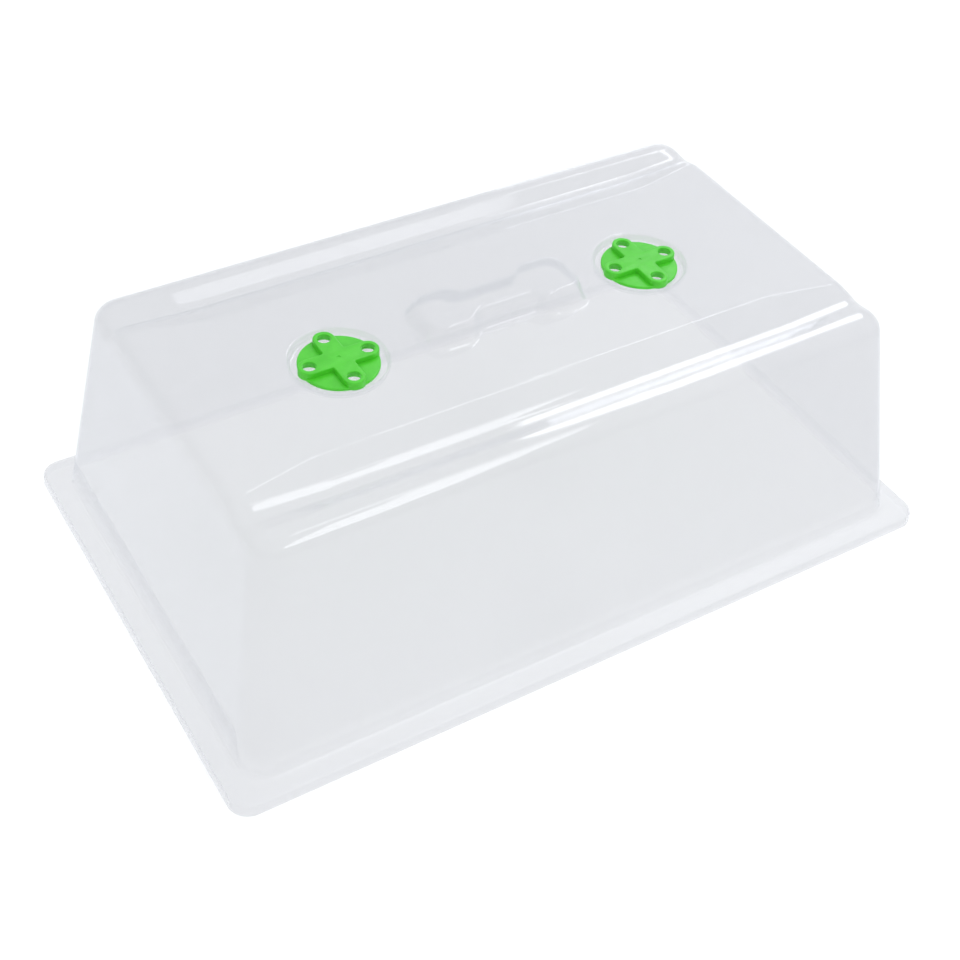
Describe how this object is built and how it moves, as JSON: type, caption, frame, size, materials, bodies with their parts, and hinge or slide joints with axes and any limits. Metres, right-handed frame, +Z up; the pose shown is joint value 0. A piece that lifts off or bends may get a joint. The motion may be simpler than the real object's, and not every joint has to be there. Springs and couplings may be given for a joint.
{
  "type": "humidity dome",
  "caption": "Clear drafted lid for a seed tray, with a flanged rim, a grooved top, a bone-shaped hand grip and round turning vents.",
  "frame": {"origin": "centre of the footprint, on the plane that the lower edge of the skirt stands on", "axes": "+X along the dome's length, towards the right-hand vent; +Y across its width, away from the front long side; +Z up"},
  "size_m": [0.38, 0.238, 0.1313],
  "materials": {
    "clear_sheet": "clear, glossy",
    "vent_green": "satin moulded"
  },
  "bodies": {
    "dome": {"dome_shell": "clear_sheet"},
    "left_dial": {"vent_dial_left": "vent_green"},
    "right_dial": {"vent_dial_right": "vent_green"}
  },
  "joints": [
    {"name": "left_vent_turn", "type": "hinge", "parent": "dome", "child": "left_dial", "pos_m": [-0.0805, 0, 0.1182], "axis": [0, 0, 1], "continuous": true},
    {"name": "right_vent_turn", "type": "hinge", "parent": "dome", "child": "right_dial", "pos_m": [0.0805, 0, 0.1182], "axis": [0, 0, 1], "continuous": true}
  ]
}
